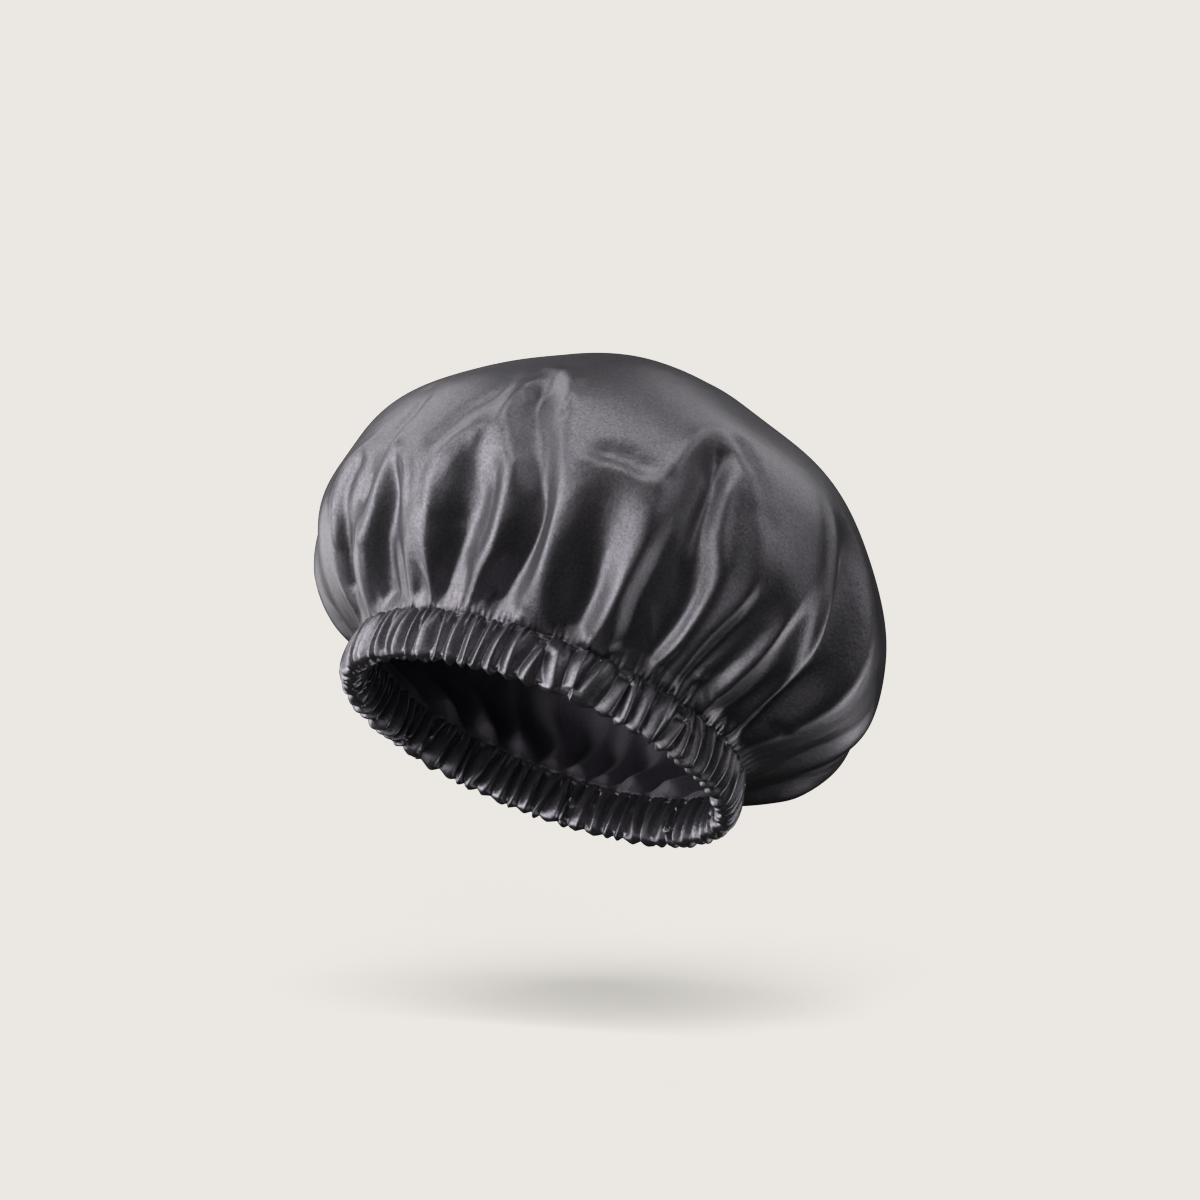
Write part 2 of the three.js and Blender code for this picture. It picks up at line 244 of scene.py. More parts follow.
NEAR_LINES = [
    (0.2, [(0, 150, 0), (12, 165, 0), (30, 181, 0), (45, 190, 0.5), (60, 196, 0.5), (80, 198, 0)]),
    (0.3, [(0, 160, -3), (12, 176, -3), (20, 181.5, -2.5), (30, 187, -2), (40, 193.4, -1.6),
     (50, 198, -1.4), (60, 201.5, -1)]),
    (0.3, [(0, 171, -1), (10, 181, -0.5), (20, 185.6, 0), (30, 191.7, 0), (40, 198.2, 0.5),
     (50, 201.4, 0.8), (60, 204.4, 1), (70, 206, 0.8), (85, 208, 0)]),
    (0.2, [(0, 178, -4), (10, 185, -5.5), (20, 190.2, -7), (30, 196.4, -8), (40, 202.4, -8.5),
     (46, 206, -9), (52, 210, -9.5), (60, 211.4, -9), (70, 213.4, -6.5), (78, 214.4, -3), (88, 215, 0)]),
    (0.7, [(0, 179, -3), (10, 186, -3.5), (20, 191.2, -4.2), (30, 197.3, -5), (40, 203.3, -5.5),
     (46, 206.8, -6.5), (52, 210.6, -8.6)]),
    (0.3, [(0, 191, 0), (10, 197, 0.3), (20, 202.5, 0.8), (30, 206.8, 1.2), (40, 210.7, 1.5),
     (50, 214.2, 1.5), (60, 216.8, 1.5), (70, 218, 1), (85, 218, 0)]),
    (0.1, [(0, 206, -7), (10, 209.4, -9), (20, 211.8, -10.5), (30, 214.6, -11), (40, 218, -11),
     (50, 220.3, -10), (60, 220.6, -7.5), (66, 220, -4), (74, 219.3, 0)]),
    (0.4, [(0, 210.4, -4), (10, 213.4, -5), (20, 215.8, -5.5), (30, 217.6, -6.5), (38, 219.6, -8)]),
    (0.4, [(0, 212.6, -5), (10, 216, -6), (20, 218.2, -6.5), (30, 219.2, -7), (38, 220.6, -7.5)]),
    (0.6, [(0, 214.4, -1.5), (10, 217.4, -2), (20, 219.7, -2), (30, 222.1, -2), (40, 222.8, -1.5),
     (50, 224.3, 0), (60, 224.5, 0.5), (70, 223, 0.6), (80, 221, 0.4), (95, 219, 0)]),
    (0.1, [(0, 219, -4), (8, 222.6, -5), (14, 224.3, -5), (20, 224.4, -4), (26, 224.2, -2.5)]),
    (0.2, [(0, 223.4, -1), (8, 225.6, -0.5), (15, 227.2, 0), (25, 228, 0), (35, 228.8, 0.5),
     (45, 229.9, 1), (55, 231.6, 1.2), (65, 233.6, 1.3), (75, 235, 1.2), (84, 236.4, 0.8), (100, 237, 0)]),
    (0.1, [(0, 227.6, -7), (10, 230.8, -9), (20, 234.4, -11), (30, 236.6, -12), (40, 239.2, -12),
     (50, 240.6, -11.5), (60, 240.8, -10.5), (70, 240.3, -9), (78, 239, -6), (85, 237.8, -2.5),
     (92, 237.6, 0)]),
    (0.5, [(0, 229.3, -4), (10, 232.6, -5.5), (18, 236, -8), (26, 238.6, -10.5)]),
    (0.4, [(0, 233, -6), (10, 236.6, -7), (18, 239.2, -7.5), (26, 241.2, -8)]),
    (0.4, [(0, 235.3, -1), (10, 237.8, -1), (20, 241, -1), (30, 244.6, 0), (40, 246.2, 0.8),
     (50, 247.1, 1.3), (60, 247.2, 1.5), (70, 246.4, 1.5), (80, 245, 1.5), (90, 243, 1.5),
     (100, 240.8, 1.6), (110, 239, 1.8), (120, 238, 1.8), (130, 237.6, 1.2), (145, 238, 0)]),
    (0.2, [(0, 246, -8), (10, 248.2, -10), (20, 250.8, -12), (30, 253.2, -12.5), (40, 254.8, -12.5),
     (50, 255.4, -12.5), (60, 255, -12), (70, 252.6, -11.5), (80, 250.7, -11.5), (90, 248.8, -11.5),
     (100, 246.6, -11), (110, 244.2, -10), (118, 242.4, -8), (126, 241.6, -4.5), (134, 241.6, 0)]),
    (0.6, [(0, 253, -2), (10, 253.6, -2), (20, 255.2, -1), (30, 255.8, 0), (40, 256.1, 0.2),
     (50, 256.3, 0.3), (60, 256.2, 0.2), (70, 255.8, 0), (80, 255, 0), (90, 253.7, 0), (100, 251.9, 0),
     (108, 250.4, 0.6), (118, 248.8, 1.4), (126, 247, 1.6), (136, 244, 1.2), (150, 243, 0)]),
    (0.1, [(0, 259, 0), (15, 258.4, 0), (30, 258.2, 0.7), (45, 258.4, 1.2), (60, 258.9, 1.5),
     (72, 260, 1.2), (84, 261, 0.6)]),
    (0, [(0, 267.5, -6), (10, 268.2, -8), (20, 268.8, -9), (30, 268.8, -9.5), (40, 268, -9.5),
     (50, 267.2, -9), (60, 266.6, -7.5), (68, 266, -5), (75, 265.4, -2), (82, 265, 0)]),
    (0.2, [(0, 273, 0), (20, 273.6, 0.5), (30, 273.9, 1), (50, 273.9, 1.5), (70, 273.7, 1.5),
     (90, 274, 1.2), (110, 275.6, 1), (120, 277, 0.8), (132, 280, 0)]),
    (0.6, [(0, 278.2, -1.5), (10, 277.8, -1.5), (20, 276.7, -1.4), (30, 275.7, -1.2), (50, 275.5, -1),
     (70, 275.7, -1), (80, 276, -1), (90, 276.6, -1.2), (100, 277, -1.6), (110, 277.6, -1.8),
     (120, 279.2, -1.2), (130, 281.2, 0)]),
    (0.3, [(0, 280.2, -6), (10, 280, -7), (20, 279.1, -7.5), (30, 278.2, -7.5), (50, 278.2, -7.5),
     (70, 278.6, -7), (80, 279.4, -7.5), (90, 280.2, -7.5), (100, 281, -7.5), (110, 281.8, -6.5),
     (118, 282.2, -4.5)]),
    (0.1, [(0, 289, -8), (10, 289, -10), (20, 289.3, -11.5), (30, 289.2, -12.5), (40, 288.7, -13),
     (50, 288, -14), (58, 286.8, -14.5), (66, 285.2, -14.5), (74, 283.8, -14.5), (84, 283.4, -14),
     (95, 283.2, -13.5), (105, 283.2, -12), (115, 283.4, -9), (123, 283.6, -4), (131, 283.6, 0)]),
    (0.4, [(0, 291.2, -3), (10, 291.4, -3.5), (20, 291.9, -4), (30, 291.3, -4.5), (40, 290.7, -4.5),
     (50, 290.1, -4.5), (60, 289.4, -4.5), (68, 288.2, -5), (76, 286.8, -5.5), (85, 286.2, -5.5),
     (95, 285.6, -4.5), (105, 284.9, -3.5), (115, 284, -2)]),
    (0.2, [(0, 294, -6), (10, 294, -6.5), (20, 293.7, -6.5), (30, 292.8, -6.5), (40, 292.2, -6.5),
     (50, 291.6, -6.5), (60, 291.2, -6), (70, 290.4, -6), (80, 289.2, -6), (90, 288.3, -5.5),
     (100, 287.4, -4), (110, 286.4, -2.5), (120, 285.4, -1)]),
    (0.1, [(0, 299, -3), (10, 297.2, -3.5), (20, 295.8, -4), (30, 295, -4), (40, 295.2, -3.5),
     (50, 296, -2.5), (60, 296.4, -1.5), (72, 296, -0.4), (85, 295, 0.2), (100, 293.5, 0.3), (115, 291, 0)]),
    (0.1, [(0, 301.5, -8), (10, 300.6, -9), (20, 299.9, -10), (30, 299.6, -10), (40, 299.2, -9),
     (50, 299, -7), (57, 298.6, -5), (64, 298.2, -2.5), (72, 298, 0)]),
    (0.1, [(0, 303, -5.5), (10, 302.6, -6), (20, 302.4, -6.6), (30, 302.1, -7), (40, 301.6, -6.8),
     (50, 301, -6), (62, 300.4, -3.4), (76, 300, -0.5)]),
    (0.2, [(0, 306.5, -7), (10, 305.6, -7.5), (20, 304.8, -7.5), (30, 304.2, -7), (40, 303.8, -6),
     (50, 303.6, -5), (60, 303, -3)]),
    (0.9, [(0, 311, 0), (10, 309.7, 0), (20, 308.3, 0), (30, 307.3, 0.5), (40, 306.6, 0.8), (50, 306.1, 1),
     (60, 306.2, 1), (66, 306.8, 1), (72, 307.8, 0.8), (80, 308.6, 0.6), (95, 308, 0.4), (110, 307, 0.3),
     (125, 306.5, 0)]),
    (0.4, [(0, 319, -7), (10, 317.4, -8), (20, 316.2, -7.5), (28, 314.6, -6.5), (36, 312.4, -4.5),
     (44, 309.5, -2.5), (56, 307.8, -2), (66, 308.2, -1.6), (76, 309.4, -1)]),
    (0.5, [(0, 326.5, 0), (10, 324, 0), (20, 320.8, 0), (30, 318.2, 0), (40, 316.8, 0), (50, 315.2, -0.5),
     (58, 313, -1), (66, 310.6, -1.2), (74, 309.9, -1.2), (84, 310.3, -0.4)]),
    (0.3, [(40, 315.5, -3), (50, 314.6, -3.2), (62, 313.2, -3.2), (78, 311.6, -2.4), (95, 310.6, -1.4),
     (125, 308.8, -0.6)]),
    (0.5, [(42, 317.4, -2.5), (50, 317, -2), (60, 316, -1.2), (70, 315, -0.6), (80, 314.2, -0.2),
     (90, 313.6, 0.2), (100, 313.2, 0.4), (112, 312.8, 0.5), (125, 312.6, 0)]),
    (0.1, [(0, 329.6, -4), (5, 328.6, -7), (12, 326.8, -10), (20, 325, -13), (30, 323.8, -15.5),
     (40, 323.2, -17.5), (60, 323, -18.5), (80, 322.4, -18.5), (90, 321.8, -17.5), (100, 321.2, -15.5),
     (110, 320.6, -12), (120, 320, -5.5), (132, 319, 0)]),
    (0.2, [(0, 337, -1), (10, 334.5, -1), (20, 333.5, -1), (40, 333, -0.5), (60, 333, 0), (80, 333, 0.3),
     (100, 331, 0.3), (120, 328, 0.2), (135, 326, 0)]),
    (0.2, [(0, 347, -2), (10, 343, -2.5), (25, 341, -2), (40, 341, -1.8), (55, 342, -1.5), (70, 343, -1),
     (85, 344, -0.5), (100, 345, 0)]),
    (0.6, [(0, 357, 0), (8, 353, -1.5), (18, 350, -3), (28, 347.5, -3.5), (36, 346, -3.5), (44, 346, -2.6),
     (54, 346.5, -2), (62, 347, -1.5), (70, 348, -1), (80, 349, -0.5), (95, 350, 0)]),
    (0.2, [(0, 372, 0), (15, 364, 0), (30, 357, 0), (50, 352, 0), (70, 352, 0), (95, 353, 0)]),
]
FAR_LINES = [
    (0.2, [(0, 378, -3), (12, 372, -4), (30, 366, -5), (50, 362, -6), (75, 362, -4), (95, 363, 0)]),
    (0.5, [(0, 386, 0), (12, 382, 1), (30, 377, 2), (60, 374, 2), (100, 374, 0)]),
    (0.2, [(0, 393, -4), (12, 390, -5), (30, 386, -6), (60, 384, -6), (90, 385, -3), (110, 385, 0)]),
    (0.4, [(0, 401, 0), (12, 399, 0), (30, 397, 0.5), (60, 396, 1), (110, 397, 0)]),
    (0.3, [(0, 407, -6), (12, 406, -8), (30, 405, -9), (60, 406, -8), (85, 407, -3), (100, 407, 0)]),
    (0.5, [(0, 413, 0), (30, 414, 0), (60, 416, 1), (100, 417, 0)]),
    (0.4, [(0, 419.5, -5), (15, 420, -8), (38, 421, -9), (62, 423, -8), (90, 424, -4), (110, 424, 0)]),
    (0.4, [(0, 423, 0), (15, 423.5, 0), (38, 424.5, 0), (62, 428, 0.5), (110, 429, 0)]),
    (0.3, [(0, 427, -4), (15, 428, -6), (38, 429.5, -8), (62, 432, -8), (90, 433, -3), (105, 433, 0)]),
    (0.5, [(0, 431.5, 0), (15, 432, 0), (38, 433, 0.3), (62, 434.8, 0.5), (110, 435.5, 0)]),
    (0.4, [(0, 435.5, -5), (15, 435.5, -6), (42, 436, -8), (67, 437, -7), (95, 438, -3), (110, 438, 0)]),
    (0.9, [(0, 440.5, 0), (21, 440.9, 0), (42, 440, 0.5), (67, 440.5, 1), (120, 441, 0)]),
    (0.2, [(0, 442.6, -4), (26, 443.8, -8), (51, 450, -10), (75, 452, -8), (100, 452, -3), (120, 452, 0)]),
    (0.3, [(0, 448, 0), (26, 449.5, 0), (36, 452.2, 0), (51, 455, 0.5), (74, 457, 1), (120, 457, 0)]),
    (0.5, [(0, 453.5, -5), (15, 455.3, -8), (38, 458.3, -10), (58, 459.8, -11), (100, 462, -4),
     (120, 462, 0)]),
    (0.4, [(0, 459, 0), (15, 459.8, 0), (38, 462, 0), (60, 466, 0.5), (75, 468, 1), (120, 468, 0)]),
    (0.2, [(0, 464.5, -6), (15, 466, -8), (38, 469, -10), (60, 473, -9), (80, 475, -5), (105, 475, 0)]),
    (0.5, [(0, 471, 0), (15, 473, 0), (38, 477, 0.5), (60, 480, 1), (110, 481, 0)]),
    (0.3, [(0, 478, -6), (15, 481, -8), (38, 486, -8), (60, 489, -6), (80, 490, -3), (100, 490, 0)]),
    (0.4, [(0, 485, 0), (15, 490, 0), (38, 495, 1), (60, 498, 2), (110, 499, 0)]),
    (0.2, [(0, 491, -4), (15, 498, -4), (38, 505, -3), (60, 509, -3), (80, 511, -2), (100, 511, 0)]),
    (0.4, [(0, 497, 0), (15, 507, 1), (38, 515, 2), (60, 520, 2), (110, 521, 0)]),
    (0.2, [(0, 503, -3), (15, 515, -4), (38, 526, -4), (60, 532, -4), (80, 533, -2), (95, 533, 0)]),
]
# How far a line takes to melt, in mm, and the least angle between two lines
MELT = 12
LEAST_SPACING = 0.35

# Small dents and soft creases: height in mm, width in mm, then a path of (distance from the band
# in mm, angle in degrees)
STROKES = [
    (-2, 6.5, [(91, 262), (92, 266), (90, 268.5)]),
    (1, 4, [(83, 258), (85, 263), (84, 268), (85, 272)]),
    (1.3, 4.5, [(96, 274.5), (108, 275.2), (120, 277), (129, 280.5), (124, 284.6), (114, 288),
     (102, 291.5)]),
    (-2.4, 6, [(116, 281.5), (108, 281.8)]),
    (1.4, 4.5, [(92, 239), (108, 238.2), (122, 236.2), (134, 235.6), (142, 238.5), (140, 243), (131, 247),
     (118, 249.2)]),
    (-2.6, 5.5, [(84, 245.6), (98, 243.2), (118, 240.8)]),
    (1, 4, [(48, 231.2), (66, 230.8), (78, 232), (88, 234.6), (84, 238.8), (66, 241.4)]),
    (-1.6, 5, [(76, 236), (62, 237.4), (44, 236.6)]),
    (0.9, 3.5, [(36, 207.3), (60, 209.4), (72, 213.7), (79, 218), (72, 221.6), (54, 224.8)]),
    (0.9, 3.5, [(40, 196), (58, 200.4), (74, 204), (82, 209)]),
    (-2.4, 3.5, [(18, 191), (30, 197), (44, 201.2), (60, 205), (72, 207.4)]),
    (-1.3, 5, [(138, 237.4), (126, 235.9), (112, 234.6), (99, 232), (88, 230.2), (80, 229)]),
    (-1.2, 4.5, [(130, 285.6), (120, 288), (110, 290.6), (100, 293), (93, 295.5)]),
    (-0.9, 3.5, [(120, 211), (108, 216), (96, 217.2), (84, 215.5), (72, 215)]),
    (-0.8, 3, [(83, 218.6), (78, 221), (70, 223.8), (60, 225.4), (50, 225.2), (42, 223.4), (36, 222.6)]),
    (-0.7, 1.8, [(68, 243.4), (60, 244.5), (50, 244.6), (42, 243.9), (34, 242.4)]),
    (-0.8, 2.5, [(107, 250), (110, 250)]),
    (-1.6, 3, [(8, 257.6)]),
    (-2, 3.4, [(7, 274.6)]),
    (1, 2.2, [(3, 272.5), (2.5, 276), (5, 279.5)]),
    (-1.4, 2.6, [(4.3, 285.6)]),
    (-2.2, 3, [(6, 294)]),
    (1, 2, [(2, 292), (2, 295.5), (5, 298)]),
    (-2.6, 3.2, [(6, 305.6)]),
    (1, 2, [(13, 303), (14, 306), (10, 309)]),
    (-1.4, 3, [(4, 322.5), (8, 321.5)]),
    (0.6, 3, [(30, 281), (20, 284.5), (8, 287.5)]),
    (1, 1.8, [(1, 241), (11, 243.8)]),
    (-1.2, 2.6, [(22, 331.4), (24, 333)]),
    (-1.5, 34, [(155, 300), (150, 318)]),
    (-2.6, 30, [(140, 212), (146, 236)]),
    (-4.5, 40, [(190, 225), (200, 262), (206, 276)]),
    (2, 16, [(36, 154), (42, 164)]),
    (-2.4, 20, [(62, 182), (84, 189)]),
    (3.5, 15, [(16, 382), (33, 378)]),
    (2.2, 20, [(57, 371), (56, 356)]),
]


def ring_place(places, angles):
    """Which stretch of a ring of places each angle lies in, and how far along it."""
    ring = np.append(places, places[0] + 360)
    wrapped = (angles - ring[0]) % 360 + ring[0]
    i = np.clip(np.searchsorted(ring, wrapped, side="right") - 1, 0, len(places) - 1)
    return i, (wrapped - ring[i]) / (ring[i + 1] - ring[i])


def between(places, heights, sharp, angles):
    """Heights at angles all round, through a ring of ridges and valleys."""
    i, t = ring_place(places, angles)
    after = (i + 1) % len(places)
    ease = 3 * t**2 - 2 * t**3 + sharp[i] * (t**3 - 2 * t**2 + t) + sharp[after] * (t**3 - t**2)
    return heights[i] + (heights[after] - heights[i]) * ease


def lined_field(lines, rows, angles, melt, spacing, in_order=True):
    """Heights on a grid from lines of ridges and valleys, and each point's angle at the first row.

    rows are the places of the grid's rows along the lines, and angles those of its columns in
    degrees. A line melts over a stretch at its ends, where it doesn't reach the first or last row.
    """
    places, heights, weights = [], [], []
    for _, points in lines:
        at = [p[0] for p in points]
        reach = np.clip(rows, at[0], at[-1])
        places.append(along(at, [p[1] for p in points], reach))
        heights.append(along(at, [p[2] for p in points], reach))
        weight = np.ones_like(rows)
        if at[-1] < rows[-1] and points[-1][2] != 0:
            weight *= 1 - smooth_step(rows, at[-1] - melt, at[-1])
        if at[0] > rows[0]:
            weight *= smooth_step(rows, at[0], at[0] + melt)
        weights.append(weight)
    places, heights, weights = np.array(places), np.array(heights), np.array(weights)
    sharp = np.array([line[0] for line in lines])
    field = np.zeros((len(rows), len(angles)))
    at_first = np.zeros_like(field)
    for row in range(len(rows)):
        live = np.flatnonzero(weights[:, row] > 0)
        if not in_order:
            live = live[np.argsort(places[live, row])]
        p = places[live, row].copy()
        for k in range(1, len(p)):
            p[k] = max(p[k], p[k - 1] + spacing)
        h, w, s = heights[live, row], weights[live, row], sharp[live]
        evenly = np.ones(len(p))
        lasting = w == 1
        full = between(p, h, s, angles)
        bare = between(p[lasting], h[lasting], s[lasting], angles)
        field[row] = bare + (full - bare) * between(p, w, evenly, angles)
        at_first[row] = between(p, places[live, 0] - p, evenly, angles) + angles
    return field, at_first


def strokes(points, angles, arcs):
    """Height of the dents and soft creases, in metres, at the points of a grid."""
    rows = np.arange(len(arcs))
    total = np.zeros(points.shape[:2])
    for height, width, path in STROKES:
        at = []
        for arc, angle in path:
            row = np.interp(arc * MM, arcs, rows)
            column = np.argmin(np.abs(angles - angles[0] - (angle - angles[0]) % 360))
            low = int(row)
            high = min(low + 1, len(arcs) - 1)
            at.append(points[low, column] * (1 - row % 1) + points[high, column] * (row % 1))
        nearest = np.full(points.shape[:2], np.inf)
        for start, end in zip(at, at[1:]):
            step = end - start
            share = np.clip(((points - start) @ step) / (step @ step), 0, 1)
            gap = points - start - share[..., None] * step
            nearest = np.minimum(nearest, (gap * gap).sum(axis=-1))
        total += height * MM * np.exp(-nearest / (width * MM) ** 2)
    return total


def soften(grid, rounds):
    """Averages a grid with its neighbours, a few times, round the columns and along the rows."""
    for _ in range(rounds):
        grid = (np.roll(grid, 1, 1) + 2 * grid + np.roll(grid, -1, 1)) / 4
        padded = np.vstack([grid[:1], grid, grid[-1:]])
        grid = (padded[:-2] + 2 * padded[1:-1] + padded[2:]) / 4
    return grid


# Small gathers beside the seam: how uneven their places are, the shares that each may have of its
# height and reach, how flat their tops are, how high up rest lies, and how fast they die out
CRIMP_JITTER = 0.28
CRIMP_STRENGTHS = (0.5, 1)
CRIMP_REACHES = (0.5, 1.6)
CRIMP_FLATNESS = 1.7
CRIMP_LEVEL = 0.55
CRIMP_FADE = 1.5


def crimps(at_band, arcs, rng, count, height, reach):
    """Small gathers beside the seam, in metres, dying out over their own reach."""
    steps = np.arange(count) + rng.uniform(-CRIMP_JITTER, CRIMP_JITTER, count)
    strength = rng.uniform(*CRIMP_STRENGTHS, count)
    reaches = rng.uniform(*CRIMP_REACHES, count) * reach
    i, t = ring_place(np.sort(steps / count * 360), at_band)
    bump = 1 - np.abs(2 * t - 1) ** CRIMP_FLATNESS
    fade = np.exp(-((arcs[:, None] / reaches[i]) ** CRIMP_FADE))
    return height * strength[i] * (bump - CRIMP_LEVEL) * fade


def puckers(degrees, seed):
    """Little tucks that the seam's stitches pull into the cloth, from -1 to 1."""
    rng = np.random.default_rng(seed)
    total = np.zeros_like(degrees)
    for share in PUCKER_MIX:
        turns = round(PUCKER_COUNT * share)
        total += np.cos(np.radians(turns * degrees) + rng.uniform(0, 2 * math.pi))
    return total / len(PUCKER_MIX)


def swells(angle, arcs):
    """Slow swells of slack cloth, in metres: a few long waves that fade near the band."""
    rng = np.random.default_rng(SWELL_SEED)
    total = np.zeros((len(arcs), len(angle)))
    for _ in range(SWELL_COUNT):
        turns = rng.integers(*SWELL_TURNS)
        length = rng.uniform(*SWELL_LENGTHS)
        phase = rng.uniform(0, 2 * math.pi, 2)
        total += np.cos(turns * angle[None, :] + phase[0]) * np.cos(
            2 * math.pi * arcs[:, None] / length + phase[1]
        )
    fade = smooth_step(arcs, *SWELL_START) * (1 - smooth_step(arcs, *SWELL_END))
    return SWELL_HEIGHT * total * fade[:, None]


# Surfaces


def oval(half_length, half_width, angle, outward, height):
    """Points beside an oval, a distance out from it and square to it, at a height."""
    x, y = np.cos(angle), np.sin(angle)
    nx, ny = x / half_length, y / half_width
    n = np.hypot(nx, ny)
    return np.stack(
        [half_length * x + outward * nx / n, half_width * y + outward * ny / n, height + 0 * x],
        axis=-1,
    )


def grid_normals(points):
    """Outward normals of a grid of points whose rows go up and whose columns go round."""
    around = np.roll(points, -1, 1) - np.roll(points, 1, 1)
    n = np.cross(around, np.gradient(points, axis=0))
    return n / np.maximum(np.linalg.norm(n, axis=-1, keepdims=True), 1e-12)


def add_object(name, data):
    """A new object, put into the scene."""
    thing = bpy.data.objects.new(name, data)
    bpy.context.scene.collection.objects.link(thing)
    return thing


def grid_object(name, points, uv, tip=None, inward=False):
    """A mesh object from a grid that closes round its columns, with an optional point on top."""
    rows, columns = points.shape[:2]
    verts = points.reshape(-1, 3)
    corner = np.arange(rows * columns).reshape(rows, columns)
    after = np.roll(corner, -1, 1)
    quads = np.stack([corner[:-1], after[:-1], after[1:], corner[1:]], axis=-1)
    faces = quads.reshape(-1, 4).tolist()
    uv_grid = uv.reshape(-1, 2)
    if tip is not None:
        top = len(verts)
        verts = np.vstack([verts, tip[None]])
        uv_grid = np.vstack([uv_grid, [[0, 0]]])
        last = corner[-1]
        faces += np.stack([last, np.roll(last, -1), np.full(columns, top)], axis=-1).tolist()
    if inward:
        faces = [face[::-1] for face in faces]
    mesh = bpy.data.meshes.new(name)
    mesh.from_pydata(verts.tolist(), [], faces)
    mesh.update()
    layer = mesh.uv_layers.new(name="cloth")
    index = np.empty(len(mesh.loops), dtype=np.int32)
    mesh.loops.foreach_get("vertex_index", index)
    layer.data.foreach_set("uv", uv_grid[index].astype(np.float32).ravel())
    mesh.polygons.foreach_set("use_smooth", [True] * len(mesh.polygons))
    return add_object(name, mesh)


# The crown's and the lining's grid: columns, how many of them the near side takes and from which
# angle to which, rows, how much closer these stand near the band, and the hole they leave on top
DISC_COLUMNS = 900
NEAR_SHARE = 0.72
NEAR_START, NEAR_END = 162, 366
DISC_ROWS = 108
ROW_CROWDING = 1.25
TOP_HOLE = 3 * MM
TOP_RISE = 0.15 * MM
# The crown's cloth lies this far outside the smooth crown, and its edge this far down in the seam
CROWN_OFFSET = 0.6 * MM
SEAM_DEPTH = 4 * MM
SEAM_CLEARANCE = 0.3 * MM
# Folds: rounds of softening, where they start to lift from the seam, and the lining's share
FOLD_SOFTENING = 10
FOLD_START = (-2 * MM, 8 * MM)
LINING_FOLD_SHARE = 1.3
# Gathers, fine and wide: how many, how high and how far up they reach
CRIMP_HEIGHT = 0.9 * MM
FINE_CRIMPS = (88, CRIMP_HEIGHT, 5 * MM)
WIDE_CRIMPS = (41, 0.6 * CRIMP_HEIGHT, 14 * MM)
WIDE_CRIMP_START = 6 * MM
# Puckers: how many all round, the mix of counts, and their height and reach on the crown
PUCKER_COUNT = 190
PUCKER_MIX = (0.8, 1, 1.23)
PUCKER_HEIGHT = 0.4 * MM
PUCKER_REACH = 2.2 * MM
# Swells: how many, waves round the crown, how high and long, and where they come in and go out
SWELL_COUNT = 14
SWELL_TURNS = (1, 6)
SWELL_HEIGHT = 0.42 * MM
SWELL_LENGTHS = (0.07, 0.18)
SWELL_START = (40 * MM, 110 * MM)
SWELL_END = (215 * MM, 255 * MM)
CROWN_SEED, LINING_SEED, SWELL_SEED = 3, 17, 3


def gathered_disc(offset, seed, fold_share):
    """Grid, flat-disc places and top of the crown or of the lining, with all its folds."""
    s = sizes()
    rng = np.random.default_rng(seed)
    _, total = crown_section(0)
    arcs = np.linspace(0, 1, DISC_ROWS) ** ROW_CROWDING * (total - TOP_HOLE)
    (a, b, h), _ = crown_section(arcs)
    near = round(DISC_COLUMNS * NEAR_SHARE)
    front = np.linspace(NEAR_START, NEAR_END, near, endpoint=False)
    back = np.linspace(NEAR_END, NEAR_START + 360, DISC_COLUMNS - near, endpoint=False)
    degrees = np.concatenate([front, back])
    angle = np.radians(degrees)
    base = oval(a[:, None], b[:, None], angle[None, :], 0, h[:, None])
    lines = NEAR_LINES + FAR_LINES
    folds, at_band = lined_field(lines, arcs / MM, degrees, MELT, LEAST_SPACING)
    depth = fold_share * soften(folds * MM, FOLD_SOFTENING) + strokes(base, degrees, arcs)
    settle = smooth_step(arcs, *FOLD_START)[:, None]
    fine = crimps(at_band, arcs, rng, *FINE_CRIMPS)
    wide = crimps(at_band, arcs, rng, *WIDE_CRIMPS)
    wide *= smooth_step(arcs, 0, WIDE_CRIMP_START)[:, None]
    tuck = np.exp(-((arcs / PUCKER_REACH) ** 2))[:, None] * puckers(at_band, seed)
    shift = offset + depth * settle + fine + wide + swells(angle, arcs) + PUCKER_HEIGHT * tuck
    points = base + grid_normals(base) * shift[..., None]
    points[..., 2] = np.maximum(points[..., 2], BAND_HEIGHT + SEAM_CLEARANCE)
    a, b = s.opening_half_length, s.opening_half_width
    inner = oval(a, b, angle[None, :], offset + fine[:1], BAND_HEIGHT - SEAM_DEPTH)
    points = np.vstack([inner, points])
    gone = (np.append(-SEAM_DEPTH, arcs) + SEAM_DEPTH) / (total + SEAM_DEPTH)
    radius = s.disc_radius * (1 - gone)
    uv = np.stack([radius[:, None] * np.cos(angle), radius[:, None] * np.sin(angle)], axis=-1)
    top = points[-1].mean(axis=0) + np.array([0, 0, TOP_RISE])
    return points, uv, top


# Band

# Places down its outer leaf to the rim, as distance from the middle of the wall and height in mm,
# and then up the inner leaf
OUTER_LEAF = [
    (0.9, 20.4), (1.3, 22), (2.3, 21.6), (3.2, 19.6), (4.1, 15.5),
    (4.5, 11), (4.3, 6.5), (3.5, 2.6), (2, 0.5), (0, 0),
]
BAND_SECTION = OUTER_LEAF + [(-out, up) for out, up in OUTER_LEAF[-2::-1]]
BAND_COLUMNS = 1620
BAND_ROWS = 58
